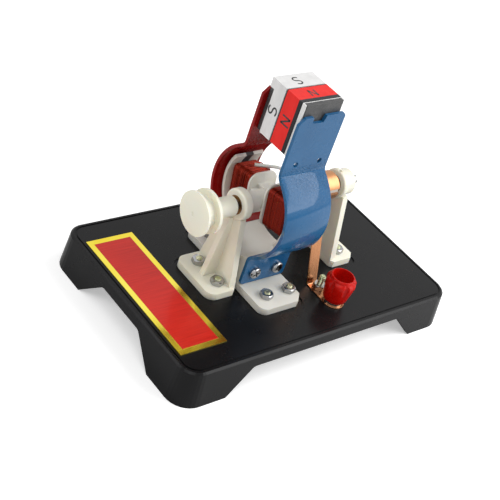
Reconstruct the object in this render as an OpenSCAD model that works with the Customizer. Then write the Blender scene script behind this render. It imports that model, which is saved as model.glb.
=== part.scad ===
// Demonstration direct current motor: a two-pole rotor between two bent pole strips, under a
// removable bar magnet, on a moulded tray. X runs along the shaft from the pulley to the
// commutator, Y to the back, and Z up from the table. The origin is under the tray's centre.

/* [Base tray] */
// Length of the tray at its rim
base_l = 156; // [150:1:200]
// Width of the tray at its rim
base_w = 98.5; // [96:0.5:140]
// Height of the deck above the table
deck_z = 17.7; // [16:0.1:30]
// Thickness of the deck
deck_t = 2.5; // [2:0.1:3]
// Thickness of the skirt
skirt_t = 2.2; // [1.5:0.1:3]
// Depth of the skirt between the legs
skirt_h = 5.1; // [4:0.1:8]
// Corner radius of the rim
base_corner_r = 8.5; // [5:0.5:15]
// Outward slope of each side from rim to foot
base_flare = 1.86; // [0.5:0.02:3]
// Rounding of the rim's top edge
rim_round = 0.8; // [0.4:0.1:1.2]
// Distance from the rim to the groove round the deck
groove_inset = 1.8; // [1.5:0.1:4]
// Width of the groove
groove_w = 0.8; // [0.5:0.1:1.5]
// Depth of the groove
groove_d = 0.4; // [0.2:0.1:0.8]
// Width of the end openings under the skirt
end_gap_top_w = 27.6; // [15:0.2:40]
// Width of the end openings at the table
end_gap_foot_w = 54.8; // [42:0.2:65]
// Width of the side openings under the skirt
side_gap_top_w = 86.4; // [60:0.2:90]
// Width of the side openings at the table
side_gap_foot_w = 111.2; // [95:0.2:120]
// Rounding of the openings' upper corners
gap_corner_r = 3; // [1:0.5:5]
// Depth of the seats that the feet stand in
seat_d = 0.5; // [0.2:0.1:0.8]
// Margin of the seats round the feet
seat_margin = 1.5; // [0.4:0.1:2]

/* [Label] */
// Length of the label across the tray
label_l = 73.8; // [40:0.2:80]
// Width of the label
label_w = 24; // [10:0.5:26]
// Thickness of the label
label_t = 0.3; // [0.2:0.05:0.5]
// Distance from the tray's end to the label
label_inset = 3.8; // [3.6:0.1:5]
// Distance from the label to the left bracket's foot
label_gap = 7.3; // [3:0.1:9]

/* [Shaft] */
// Height of the shaft's axis above the deck
axis_h = 39.7; // [39:0.1:44]
// Diameter of the shaft
shaft_d = 4; // [3:0.1:5]
// Radial running clearance of shaft and brushes
running_gap = 0.05; // [0.03:0.01:0.08]
// Length of shaft past the right bearing
shaft_tail = 5.4; // [2:0.1:8]

/* [Pulley] */
// Diameter of the pulley's flanges
pulley_d = 19.4; // [16:0.2:26]
// Diameter at the bottom of its belt groove
pulley_groove_d = 14; // [10:0.2:15]
// Width over both flanges
pulley_w = 8.1; // [6:0.1:12]
// Thickness of each flange
pulley_flange_t = 1.7; // [1:0.1:2.2]
// Diameter of its hub
pulley_hub_d = 8.8; // [7.5:0.1:10]
// Length of its hub
pulley_hub_l = 12.5; // [8:0.1:20]
// Gap between hub and bearing
pulley_gap = 1.9; // [0.3:0.1:3]

/* [Bearing brackets] */
// Thickness of the feet above the deck
foot_t = 2.8; // [2:0.1:4]
// Thickness of the upright plates
plate_t = 3; // [2:0.1:4]
// Width of the feet
foot_w = 27.2; // [26.4:0.2:34]
// Width of the upright at its foot
plate_foot_w = 24.2; // [18:0.2:26]
// Width of the upright under its boss
plate_top_w = 10.6; // [8:0.2:12]
// Thickness of the rib
rib_t = 2.6; // [2:0.1:4]
// Depth of the rib at its top
rib_top = 2.4; // [1:0.1:4]
// Depth of the rib at its foot
rib_foot = 7; // [4:0.1:9]
// Length of the left foot
left_foot_l = 14.6; // [13:0.2:18]
// Corner radius of the left foot
left_foot_r = 4.5; // [2:0.5:6]
// Corner cut of the left foot beside its upright
left_foot_cut = 1.5; // [1:0.5:4]
// How far the left boss stands out from its upright
left_boss_out = 0.6; // [0:0.1:1.5]
// Diameter of the left boss
left_boss_d = 14; // [12:0.2:16]
// Length of the left boss
left_boss_l = 3.7; // [3.2:0.1:6]
// Length of the right foot outside its upright
right_foot_out = 15; // [12:0.5:18]
// Length of the right foot inside its upright
right_foot_in = 0; // [0:0.1:4]
// Corner cut of the right foot
right_foot_cut = 3; // [2:0.5:7]
// Corner cut of the right foot inside its upright
right_foot_nick = 1.5; // [0.5:0.5:3]
// Diameter of the right boss's collar
right_collar_d = 13.6; // [12.4:0.2:16]
// Length of the right boss's collar
right_collar_l = 2.3; // [2:0.1:3]
// Diameter of the right boss
right_boss_d = 12; // [11:0.2:14]
// Length of the right boss with its collar
right_boss_l = 8.2; // [7:0.1:12]
// Rounding of the bosses' edges
boss_round = 0.9; // [0.4:0.1:1.3]
// Distance of the left bracket's bolts from its upright
left_bolt_in = 3.6; // [3.4:0.1:6]
// Distance of the right bracket's bolts from its upright
right_bolt_in = 5.1; // [3.6:0.1:7]
// Spacing of the bracket bolts
bracket_bolt_sp = 14.4; // [13:0.2:18]
// Outer diameter of the bronze bushes
bush_d = 8.4; // [7:0.1:9]
// Distance of the oil hole from the collar's face
oil_hole_in = 0.3; // [0.2:0.05:0.5]
// Depth of the oil cup in the bushes' outer ends
oil_cup_d = 1.2; // [0.5:0.1:1.6]
// Wall of the bushes round the oil cup
oil_cup_wall = 0.7; // [0.5:0.1:1]
// Diameter of the oil hole in the right collar
oil_hole_d = 1.7; // [1:0.1:2]

/* [Stator saddle] */
// Length of the saddle along the shaft
saddle_l = 24.3; // [22:0.1:25]
// Width over the saddle's feet
saddle_foot_w = 59; // [57:0.2:70]
// Corner cut and rounding of its feet
saddle_corner = 4; // [2:0.5:6]
// Clearance of the block's hollow top outside the poles' inner faces
saddle_arc_extra = 1.3; // [0.5:0.1:2]
// Distance of the saddle bolts from the axis
saddle_bolt_y = 22; // [20:0.5:26]
// Spacing of the saddle bolts
saddle_bolt_sp = 12.9; // [10:0.1:15]
// Distance of the saddle bolts right of the saddle's middle
saddle_bolt_off = 1.6; // [0:0.1:2]

/* [Pole strips] */
// Width of the strips along the shaft
pole_w = 25; // [23:0.5:26]
// Thickness of the strips
pole_t = 1.5; // [1:0.1:2]
// Inner radius of the strips round the rotor
pole_r = 23.5; // [23.3:0.1:25]
// Distance between the inner faces of the lower flanges
pole_flange_sp = 21; // [18:0.2:24]
// Distance between the inner faces of the upper plates
pole_top_sp = 21.8; // [18:0.2:24]
// Height of the strips' tops above the deck
pole_top_h = 89.8; // [84:0.2:96]
// Gap between the strips' lower ends and the saddle's feet
pole_foot_gap = 0.3; // [0.1:0.1:1]
// Corner cut of the strips' lower ends
pole_foot_corner = 1.1; // [0.5:0.1:2]
// Outside bend radius under the upper plates
neck_r = 3.5; // [2:0.5:5]
// Outside bend radius above the flanges
flange_bend_r = 3; // [2:0.5:4]
// Corner cut of the upper plates on the pulley's side
pole_corner = 3; // [1:0.5:5]
// Corner cut of the upper plates on the commutator's side
pole_corner_right = 1.2; // [0.6:0.1:5]
// Width of the notch in the upper edge
notch_w = 6; // [3:0.5:10]
// Depth of the notch
notch_d = 3; // [1:0.5:5]
// Distance of the notch's middle from the strip's middle
notch_off = -2.2; // [-5:0.2:5]
// Diameter of the two holes above the bend
pole_hole_d = 2.4; // [1.5:0.1:3]
// Spacing of these holes
pole_hole_sp = 13.2; // [10:0.2:16]
// Distance of these holes right of the strip's middle
pole_hole_off = 0.6; // [0:0.1:1.5]
// Height of these holes above the deck
pole_hole_h = 66.8; // [66:0.2:69]
// Height of the pole screws above the deck
pole_screw_h = 9; // [7.5:0.2:11]
// Spacing of the pole screws
pole_screw_sp = 12.8; // [10:0.2:16]

/* [Magnet] */
// Length of the magnet along the shaft
magnet_l = 21.4; // [16:0.2:22.6]
// Height of the magnet
magnet_h = 25; // [18:0.5:30]
// Height of its lower face above the deck
magnet_z = 70; // [69:0.2:72]
// Gap between magnet and pole strips
magnet_gap = 0.1; // [0.05:0.05:0.3]
// Thickness of its coloured covers
cover_t = 0.6; // [0.4:0.1:1]
// Width of the bare end at the rear strip
magnet_rear_w = 2.6; // [2:0.1:4]
// Width of the white cover
south_w = 6.4; // [5:0.1:7]
// Width of the seam between the covers
cover_seam = 0.4; // [0.2:0.1:0.8]
// Width of the red cover with its black edge
north_w = 9.8; // [8:0.1:10.5]
// How far the bare rear end stands below the top
magnet_rear_drop = 4.4; // [1:0.2:6]

/* [Rotor] */
// Outer radius of the rotor's poles
rotor_r = 21.8; // [20:0.1:22.2]
// Length of the rotor along the shaft
rotor_l = 15.5; // [14:0.5:18]
// Distance of the rotor's middle left of the strips' middle
rotor_off = 0.75; // [0:0.05:1.5]
// Tilt of the rotor at rest, in degrees
rotor_tilt = 9; // [0:1:45]
// Thickness of the iron stack
core_t = 4; // [3:0.5:5]
// Width of the iron arms
arm_w = 7.8; // [6:0.2:9]
// Thickness of the rotor's outer flanges
shoe_t = 1.5; // [1.2:0.1:2]
// Angle that each outer flange spans
shoe_angle = 78; // [60:1:84]
// Thickness of the insulation on the arms
arm_skin = 0.8; // [0.6:0.1:1]
// Distance from the axis to the inner flanges
inner_flange_r = 4.9; // [4.8:0.1:6]
// Thickness of the inner flanges
inner_flange_t = 1; // [0.8:0.1:1.4]
// Height of the inner flanges
inner_flange_h = 19.6; // [18:0.2:23]
// Corner radius of the inner flanges
inner_flange_corner = 4.5; // [2:0.5:6]
// Diameter of the rotor's hubs
hub_d = 8.8; // [8:0.1:9.4]
// Gap between hub and left bearing
hub_gap = 1.1; // [0.5:0.1:2]

/* [Windings] */
// Size of each winding along the shaft
coil_w = 13.6; // [10:0.2:14]
// Size of each winding across its arm
coil_h = 18; // [13:0.2:18.4]
// Diameter of the drawn wire
wire_d = 0.42; // [0.3:0.02:0.44]
// Loops of the outer layer
coil_loops = 12; // [6:1:12]
// Corner radius of the wire's path
coil_corner_r = 1.9; // [1.2:0.1:2.5]
// Length of each winding along its arm
coil_l = 12; // [11.9:0.1:12.2]
// Diameter of the sleeves on the leads
lead_d = 1.6; // [1:0.1:2]

/* [Commutator and brushes] */
// Distance from the pole strips to the commutator
commutator_gap = 8.5; // [6:0.1:10]
// Length of the commutator
commutator_l = 15; // [12:0.5:15.5]
// Diameter of the commutator
commutator_d = 13; // [12:0.1:15]
// Thickness of its copper segments
segment_t = 0.8; // [0.5:0.1:1.2]
// Width of the slots between the segments
slot_w = 2; // [1:0.1:3]
// Distance from the pole strips to the right upright
bearing_gap = 29.9; // [29:0.1:34]
// Width of the brush strips
brush_w = 6; // [4:0.1:6.4]
// Thickness of the brush strips
brush_t = 0.5; // [0.4:0.1:0.6]
// Distance from the commutator's left end to the brushes' middle
brush_in = 4.2; // [3.5:0.1:8]
// Distance from the axis to the bend of each brush
brush_bend_y = 20.5; // [19:0.5:23]
// Inside radius of this bend
brush_bend_r = 1; // [0.6:0.1:1.5]
// Length of brush above the line of contact
brush_tip = 4; // [2:0.5:6]
// Gap between brush and commutator
brush_gap = 0.1; // [0.05:0.05:0.2]
// Distance from the axis to the brush bolts
brush_bolt_y = 23.6; // [23.4:0.1:26]
// Distance from the axis to the terminals
terminal_y = 33; // [32.5:0.5:38]
// Distance of the terminals right of the brushes
terminal_off = 1.8; // [0:0.05:2]
// Diameter of the eyelet on each brush strip
eyelet_d = 10.4; // [9:0.2:12]

/* [Terminals] */
// Diameter of the terminal studs
stud_d = 4; // [3.5:0.1:5]
// Height of the studs above the deck
stud_h = 7.8; // [6:0.2:7.8]
// Height of the nuts under the studs
stud_nut_h = 3; // [2:0.1:3.2]
// Width of these nuts across the flats
stud_nut_af = 7; // [6:0.1:8]
// Diameter of the washers under the knobs
washer_d = 9; // [8:0.2:10]
// Thickness of the washers
washer_t = 1.2; // [0.5:0.1:1.2]
// Largest diameter of the knobs
knob_d = 14; // [13:0.2:16]
// Diameter of the knobs at their foot
knob_foot_d = 11; // [10:0.2:12]
// Diameter of the knobs' upper rim
knob_rim_d = 11.6; // [11.2:0.2:12.2]
// Height of the knobs
knob_h = 13.4; // [12:0.2:18]
// Diameter of the hollow in the knobs' tops
knob_hollow_d = 9.8; // [8:0.2:10.2]
// Depth of this hollow
knob_hollow = 7.4; // [4:0.2:7.8]
// Number of grooves round the knobs
knob_grooves = 6; // [4:1:10]
// Diameter of the knobs' grooves
knob_groove_d = 2.6; // [1.5:0.1:3]

/* [Fasteners] */
// Diameter of the small screws
bolt_d = 3; // [2.5:0.1:3.2]
// Width of their nuts across the flats
nut_af = 5.5; // [5:0.1:6]
// Height of their nuts
nut_h = 2.4; // [2:0.1:3]
// Diameter of the screw heads
head_d = 5.6; // [5:0.1:6]
// Height of the screw heads
head_h = 1.8; // [1.4:0.1:2.2]
// Length of bolt past its nut
bolt_tail = 0.7; // [0.5:0.1:1.5]
// Length of the brush bolts past their nuts
brush_bolt_tail = 4.6; // [1:0.1:6]
// Depth of the pole screws in the saddle
pole_screw_in = 6; // [4:0.5:8]
// Width of the cross recess in the screw heads
cross_w = 0.8; // [0.5:0.1:1]

/* [Hidden] */
$fn = 64;
eps = 0.01;
slice_t = 0.01;
stud_tail = 1;
seam_lap = 0.05;

// Heights
axis_z = deck_z + axis_h;
under_z = deck_z - deck_t;
seat_z = deck_z - seat_d;
foot_z = deck_z + foot_t;
pole_top_z = deck_z + pole_top_h;
magnet_low_z = deck_z + magnet_z;

// Places along the shaft
left_plate_gap = 2.8;
left_plate_in = -base_l/2 + label_inset + label_w + label_gap + left_foot_l;
left_plate_out = left_plate_in - plate_t;
left_boss_start = left_plate_out - left_boss_out;
pole_left = left_plate_in + left_plate_gap;
pole_right = pole_left + pole_w;
pole_x = pole_left + pole_w/2;
rotor_x = pole_x - rotor_off;
left_boss_end = left_plate_out + left_boss_l;
right_plate_in = pole_right + bearing_gap;
right_plate_out = right_plate_in + plate_t;
right_collar_reach = 3.5;
right_boss_start = right_plate_in - right_collar_reach;
right_boss_end = right_boss_start + right_boss_l;
commutator_x0 = pole_right + commutator_gap;
commutator_x1 = commutator_x0 + commutator_l;
brush_x = commutator_x0 + brush_in;
terminal_x = brush_x + terminal_off;
left_bolt_x = left_plate_out - left_bolt_in;
right_bolt_x = right_plate_out + right_bolt_in;
saddle_x = pole_left + saddle_l/2;
hub_left = left_boss_end + hub_gap;
pulley_right = left_boss_start - pulley_gap;
pulley_left = pulley_right - pulley_hub_l - pulley_w;
pulley_dome_r = 80;
pulley_edge = 0.5;
pulley_dimple_r = 1;
pulley_dimple = 0.3;
pulley_face_t = 1.4;
shaft_left = pulley_left + pulley_face_t;
shaft_right = right_boss_end + shaft_tail;

knob_z = deck_z + brush_t + washer_t;

// Radii and widths
bolt_r = bolt_d/2;
shaft_r = shaft_d/2;
bolt_hole_r = bolt_r + 0.1;
bush_bore_r = shaft_r + running_gap;
saddle_block_w = pole_flange_sp;
saddle_arc_r = pole_r + saddle_arc_extra;
pole_ro = pole_r + pole_t;
magnet_w = pole_top_sp - 2*magnet_gap;
magnet_front = -magnet_w/2;
magnet_rear = magnet_w/2;
south_y1 = magnet_rear - magnet_rear_w;
south_y0 = south_y1 - south_w;
north_y1 = south_y0 - cover_seam;
north_y0 = north_y1 - north_w;
front_rim_back = 0.3;
front_line = 0.35;
front_block_y = north_y0 - front_line;
front_block_drop = 0.15;
commutator_r = commutator_d/2;
coil_y0 = inner_flange_r + inner_flange_t;
coil_y1 = coil_y0 + coil_l;
skin_t = core_t/2 + arm_skin;
skin_w = arm_w/2 + arm_skin;

// The wire's path: a rounded rectangle that climbs along the arm
wire_r = wire_d/2;
wire_a = coil_w/2 - wire_r;
wire_b = coil_h/2 - wire_r;
wire_bend = 0.4;
wire_stub = wire_d;
wire_y0 = coil_y0 + wire_stub + wire_bend;
wire_y1 = coil_y1 - wire_stub - wire_bend;
wire_pitch = (wire_y1 - wire_y0)/coil_loops;
wire_sides = 6;
ring_count = 24;
wire_clear = 0.04;

// A rectangle of corner radius r about the origin
module rounded_rect(l, w, r) {
    square([l - 2*r, w], center = true);
    square([l, w - 2*r], center = true);
    for (x = [-1, 1], y = [-1, 1]) {
        translate([x*(l/2 - r), y*(w/2 - r)]) circle(r = r);
    }
}

// A thin slice of the tray at height z, grown by g on each side
module tray_slice(z, g) {
    r = base_corner_r + g;
    translate([0, 0, z]) linear_extrude(slice_t) hull() {
        for (x = [-1, 1], y = [-1, 1]) {
            translate([x*(base_l/2 - base_corner_r), y*(base_w/2 - base_corner_r)]) circle(r = r, $fn = 32);
        }
    }
}

// Side opening of the skirt, a trapezoid with rounded upper corners, as an outline
function gap_corner(top, foot, h, r) =
    let (lean = atan2((foot - top)/2, h), turn = 90 - lean, reach = r*tan(turn/2))
    [for (i = [0:6]) let (a = 90 - turn*i/6)
        [top/2 - reach + r*cos(a), h - r + r*sin(a)]];

module gap_outline(top, foot, h) {
    corner = gap_corner(top, foot, h, gap_corner_r);
    low = (foot - top)/2/h;
    right = concat(corner, [[foot/2 + low, -1]]);
    left = [for (i = [len(right) - 1:-1:0]) [-right[i][0], right[i][1]]];
    polygon(concat(right, left));
}

// Outline of a foot about its middle: rounded corners to the left, cut corners to the right
module foot_outline(l, w, r, cut) {
    difference() {
        union() {
            translate([r/2, 0]) square([l - r, w], center = true);
            square([l, w - 2*r], center = true);
            for (y = [-1, 1]) translate([-l/2 + r, y*(w/2 - r)]) circle(r = r);
        }
        for (y = [-1, 1]) {
            translate([l/2, y*w/2]) rotate(45) square(cut*sqrt(2), center = true);
        }
    }
}

module left_foot_outline() {
    translate([left_plate_in - left_foot_l/2, 0])
        foot_outline(left_foot_l, foot_w, left_foot_r, left_foot_cut);
}

module right_foot_outline() {
    l = right_foot_in + right_foot_out;
    w = foot_w;
    c = right_foot_cut;
    n = right_foot_nick;
    x0 = right_plate_in - right_foot_in;
    polygon([
        [x0, -w/2 + n], [x0 + n, -w/2], [x0 + l - c, -w/2], [x0 + l, -w/2 + c],
        [x0 + l, w/2 - c], [x0 + l - c, w/2], [x0 + n, w/2], [x0, w/2 - n]
    ]);
}

module saddle_foot_outline() {
    w = saddle_foot_w;
    r = saddle_corner;
    x0 = pole_left;
    x1 = pole_left + saddle_l;
    translate([saddle_x + r/2, 0]) square([saddle_l - r, w - 2*r], center = true);
    translate([saddle_x, 0]) square([saddle_l, w - 2*r], center = true);
    translate([saddle_x, 0]) square([saddle_l - 2*r, w], center = true);
    for (y = [-1, 1]) {
        translate([x0 + r, y*(w/2 - r)]) circle(r = r);
        polygon([[x1 - r, y*(w/2 - r)], [x1, y*(w/2 - r)], [x1 - r, y*w/2]]);
    }
}

// A foot's seat in the deck: its outline grown by the margin
module seat_cut(x0, x1, w, r) {
    m = seat_margin;
    translate([(x0 + x1)/2, 0, seat_z]) linear_extrude(seat_d + 1)
        rounded_rect(x1 - x0 + 2*m, w + 2*m, r + m);
}

module bracket_bolt_places() {
    for (x = [left_bolt_x, right_bolt_x], y = [-1, 1]) {
        translate([x, y*bracket_bolt_sp/2, 0]) children();
    }
}

module saddle_bolt_places() {
    for (x = [-1, 1], y = [-1, 1]) {
        translate([saddle_x + saddle_bolt_off + x*saddle_bolt_sp/2, y*saddle_bolt_y, 0]) children();
    }
}

module brush_bolt_places() {
    for (y = [-1, 1]) translate([brush_x + terminal_off/2, y*brush_bolt_y, 0]) children();
}

module pole_screw_places() {
    for (x = [-1, 1]) translate([pole_x + x*pole_screw_sp/2, 0, deck_z + pole_screw_h]) children();
}

// Tray

module base_tray() {
    color("black") difference() {
        hull() {
            tray_slice(deck_z - slice_t, -rim_round);
            tray_slice(deck_z - rim_round, base_flare*rim_round/deck_z);
            tray_slice(0, base_flare);
        }
        hull() {
            tray_slice(under_z - slice_t, -skirt_t);
            tray_slice(-1, base_flare - skirt_t);
        }
        translate([0, 0, deck_z - groove_d]) linear_extrude(groove_d + 1) difference() {
            rounded_rect(base_l - 2*groove_inset, base_w - 2*groove_inset, base_corner_r - groove_inset);
            rounded_rect(base_l - 2*groove_inset - 2*groove_w, base_w - 2*groove_inset - 2*groove_w,
                base_corner_r - groove_inset - groove_w);
        }
        rotate([90, 0, 90]) linear_extrude(2*base_l, center = true)
            gap_outline(end_gap_top_w, end_gap_foot_w, deck_z - skirt_h);
        rotate([90, 0, 0]) linear_extrude(2*base_w, center = true)
            gap_outline(side_gap_top_w, side_gap_foot_w, deck_z - skirt_h);
        seat_cut(left_plate_in - left_foot_l, left_plate_in, foot_w, left_foot_r);
        seat_cut(right_plate_in - right_foot_in, right_plate_in + right_foot_out, foot_w, 2);
        seat_cut(pole_left, pole_left + saddle_l, saddle_foot_w, saddle_corner);
        bracket_bolt_places() bolt_hole();
        saddle_bolt_places() bolt_hole();
        brush_bolt_places() bolt_hole();
        for (y = [-1, 1]) translate([terminal_x, y*terminal_y, 0])
            cylinder(r = stud_d/2 + 0.1, h = deck_z + 1);
    }
}

module bolt_hole() {
    cylinder(r = bolt_hole_r, h = deck_z + 1);
}

module label_plate() {
    x = -base_l/2 + label_inset + label_w/2;
    color("red") translate([x, 0, deck_z]) linear_extrude(label_t) square([label_w, label_l], center = true);
}

// Bearing brackets

// Turns a profile of (radius, distance) round the shaft's axis
module about_axis() {
    translate([0, 0, axis_z]) rotate([0, 90, 0]) rotate_extrude() children();
}

// Half profile of a round part from x0 to x1, with both outer edges rounded
module boss_profile(r, x0, x1, round_0, round_1) {
    difference() {
        translate([0, x0]) square([r, x1 - x0]);
        if (round_0 > 0) translate([r - round_0, x0]) difference() {
            translate([0, -1]) square([round_0 + 1, round_0 + 1]);
            translate([0, round_0]) circle(r = round_0);
        }
        if (round_1 > 0) translate([r - round_1, x1 - round_1]) difference() {
            square([round_1 + 1, round_1 + 1]);
            circle(r = round_1);
        }
    }
}

// Upright plate as an outline in Y and Z, with its round head
module upright_outline(head_r) {
    polygon([
        [-plate_foot_w/2, foot_z - eps], [plate_foot_w/2, foot_z - eps],
        [plate_top_w/2, axis_z - 5], [-plate_top_w/2, axis_z - 5]
    ]);
    translate([0, axis_z]) circle(r = head_r);
}

module upright(x0, head_r) {
    translate([x0, 0, 0]) rotate([90, 0, 90]) linear_extrude(plate_t) upright_outline(head_r);
}

// Rib on the outer side of an upright: side is -1 on the left and 1 on the right
module rib(x, side) {
    rib_h = axis_z - left_boss_d/2 + 1;
    translate([0, rib_t/2, 0]) rotate([90, 0, 0]) linear_extrude(rib_t) polygon([
        [x, foot_z - eps], [x + side*rib_foot, foot_z - eps],
        [x + side*rib_top, rib_h], [x, rib_h]
    ]);
}

module left_bearing_bracket() {
    color("ivory") difference() {
        union() {
            translate([0, 0, seat_z]) linear_extrude(foot_z - seat_z) left_foot_outline();
            upright(left_plate_in - plate_t, left_boss_d/2 - boss_round);
            rib(left_plate_out, -1);
            about_axis() boss_profile(left_boss_d/2, left_boss_start, left_boss_end, boss_round, boss_round);
        }
        about_axis() translate([0, left_boss_start - 1])
            square([bush_d/2, left_boss_end - left_boss_start + 2]);
        bracket_bolt_places() bolt_hole_high();
    }
}

module right_bearing_bracket() {
    color("ivory") difference() {
        union() {
            translate([0, 0, seat_z]) linear_extrude(foot_z - seat_z) right_foot_outline();
            upright(right_plate_in, right_boss_d/2 - boss_round);
            rib(right_plate_out, 1);
            about_axis() boss_profile(right_boss_d/2, right_boss_start, right_boss_end, 0, boss_round);
            about_axis() boss_profile(right_collar_d/2, right_boss_start, right_boss_start + right_collar_l,
                boss_round, 0);
        }
        about_axis() translate([0, right_boss_start - 1]) square([bush_d/2, right_boss_l + 2]);
        translate([right_boss_start + oil_hole_d/2 + oil_hole_in, 0, axis_z])
            cylinder(r = oil_hole_d/2, h = right_boss_d);
        bracket_bolt_places() bolt_hole_high();
    }
}

module bolt_hole_high() {
    cylinder(r = bolt_hole_r, h = foot_z + nut_h);
}

// A bush from x0 to x1, with an oil cup at its outer end
module bush(x0, x1, cup_at_start) {
    cup_x = cup_at_start ? x0 - 1 : x1 - oil_cup_d;
    color("peru") about_axis() difference() {
        translate([bush_bore_r, x0]) square([bush_d/2 - bush_bore_r, x1 - x0]);
        translate([0, cup_x]) square([bush_d/2 - oil_cup_wall, oil_cup_d + 1]);
    }
}

module left_bush() {
    bush(left_boss_start, left_boss_end, true);
}

module right_bush() {
    bush(right_boss_start, right_boss_end, false);
}

// Fasteners

// Rounded screw head of height head_h above z = 0
module pan_head() {
    edge = head_h*0.55;
    rotate_extrude() difference() {
        square([head_d/2, head_h]);
        translate([head_d/2 - edge, head_h - edge]) difference() {
            square([edge + 1, edge + 1]);
            circle(r = edge);
        }
    }
}

module cross_recess() {
    depth = head_h*0.6;
    for (a = [0, 90]) rotate(a) {
        translate([-head_d*0.3, -cross_w/2, head_h - depth]) cube([head_d*0.6, cross_w, depth + 1]);
    }
}

// Bolt up through the deck: head below, shank to the height top
module deck_bolt(top) {
    tip = bolt_r*0.3;
    length = top - under_z;
    color("khaki") {
        difference() {
            translate([0, 0, under_z]) mirror([0, 0, 1]) pan_head();
            translate([0, 0, under_z]) mirror([0, 0, 1]) cross_recess();
        }
        translate([0, 0, under_z]) rotate_extrude() polygon([
            [0, -eps], [bolt_r, -eps], [bolt_r, length - tip], [bolt_r - tip, length], [0, length]
        ]);
    }
}

// Hexagonal nut on a bolt, with its corners turned down
module nut(z, af, h, bore_r) {
    turned = 0.14;
    corner_r = af/2/cos(30);
    low_r = af/2 - turned;
    far_r = corner_r + turned;
    slope_h = (far_r - low_r)*tan(30);
    color("silver") translate([0, 0, z]) difference() {
        intersection() {
            rotate(15) cylinder(r = corner_r, h = h, $fn = 6);
            rotate_extrude() polygon([
                [0, 0], [low_r, 0], [far_r, slope_h], [far_r, h - slope_h], [low_r, h], [0, h]
            ]);
        }
        translate([0, 0, -1]) cylinder(r = bore_r, h = h + 2);
    }
}

module bracket_bolts() {
    bracket_bolt_places() deck_bolt(foot_z + nut_h + bolt_tail);
}

module bracket_nuts() {
    bracket_bolt_places() nut(foot_z, nut_af, nut_h, bolt_r);
}

module saddle_bolts() {
    saddle_bolt_places() deck_bolt(foot_z + nut_h + bolt_tail);
}

module saddle_nuts() {
    saddle_bolt_places() nut(foot_z, nut_af, nut_h, bolt_r);
}

module brush_bolts() {
    brush_bolt_places() deck_bolt(deck_z + brush_t + nut_h + brush_bolt_tail);
}

module brush_nuts() {
    brush_bolt_places() nut(deck_z + brush_t, nut_af, nut_h, bolt_r);
}

module pole_screws() {
    face = pole_flange_sp/2 + pole_t;
    shank = pole_t + pole_screw_in;
    color("silver") for (side = [0, 180]) {
        translate([2*pole_x*(side/180), 0, 0]) rotate([0, 0, side]) pole_screw_places() {
            translate([0, -face, 0]) rotate([90, 0, 0]) difference() {
                pan_head();
                rotate(20) cross_recess();
            }
            translate([0, -face, 0]) rotate([-90, 0, 0]) cylinder(r = bolt_r - 0.2, h = shank);
        }
    }
}

// Stator

module stator_saddle() {
    color("white") difference() {
        union() {
            translate([0, 0, seat_z]) linear_extrude(foot_z - seat_z) saddle_foot_outline();
            translate([pole_left, -saddle_block_w/2, seat_z])
                cube([saddle_l, saddle_block_w, axis_z - pole_r*0.8 - seat_z]);
        }
        about_axis() translate([0, pole_left - 1]) square([saddle_arc_r, saddle_l + 2]);
        saddle_bolt_places() bolt_hole_high();
        for (side = [-1, 1]) pole_screw_places() rotate([90, 0, 0]) translate([0, 0, side*saddle_block_w/2])
            cylinder(r = bolt_r - 0.2, h = 2*pole_screw_in + 0.4, center = true);
    }
}

// Section of the rear strip in Y and Z, from its flange round the rotor to its upper plate
module strip_section() {
    flange_in = pole_flange_sp/2;
    flange_out = flange_in + pole_t;
    plate_in = pole_top_sp/2;
    plate_out = plate_in + pole_t;
    neck_u = plate_out + neck_r;
    neck_v = sqrt(pow(pole_ro + neck_r, 2) - pow(neck_u, 2));
    bend_u = flange_out + flange_bend_r;
    bend_v = -sqrt(pow(pole_ro + flange_bend_r, 2) - pow(bend_u, 2));
    low = foot_z + pole_foot_gap - axis_z;
    high = pole_top_z - axis_z;
    far = 3*pole_ro;
    translate([0, axis_z]) {
        // Arc round the rotor, between the rays to the two bends' centres, with a small lap at the lower one
        intersection() {
            difference() {
                circle(r = pole_ro, $fn = 128);
                circle(r = pole_r, $fn = 128);
            }
            polygon([[0, 0], [neck_u, neck_v]*3, [far, 0], [bend_u, bend_v]*3 - [seam_lap, 0]]);
        }
        // Bend under the upper plate
        intersection() {
            translate([neck_u, neck_v]) difference() {
                circle(r = neck_r + pole_t);
                circle(r = neck_r);
            }
            polygon([[neck_u, neck_v], [0, 0], [0, neck_v]]);
        }
        // Bend above the flange
        intersection() {
            translate([bend_u, bend_v]) difference() {
                circle(r = flange_bend_r + pole_t);
                circle(r = flange_bend_r);
            }
            polygon([[bend_u, bend_v], [0, bend_v], [0, 0]]);
        }
        translate([plate_in, neck_v]) square([pole_t, high - neck_v]);
        translate([flange_in, low]) square([pole_t, bend_v - low]);
    }
}

// Cutter for a straight corner cut of size c, through both strips at x and z
module corner_cut(x, z, c) {
    translate([x, 0, z]) rotate([0, 45, 0]) cube([c*sqrt(2), 2*base_w, c*sqrt(2)], center = true);
}

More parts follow.
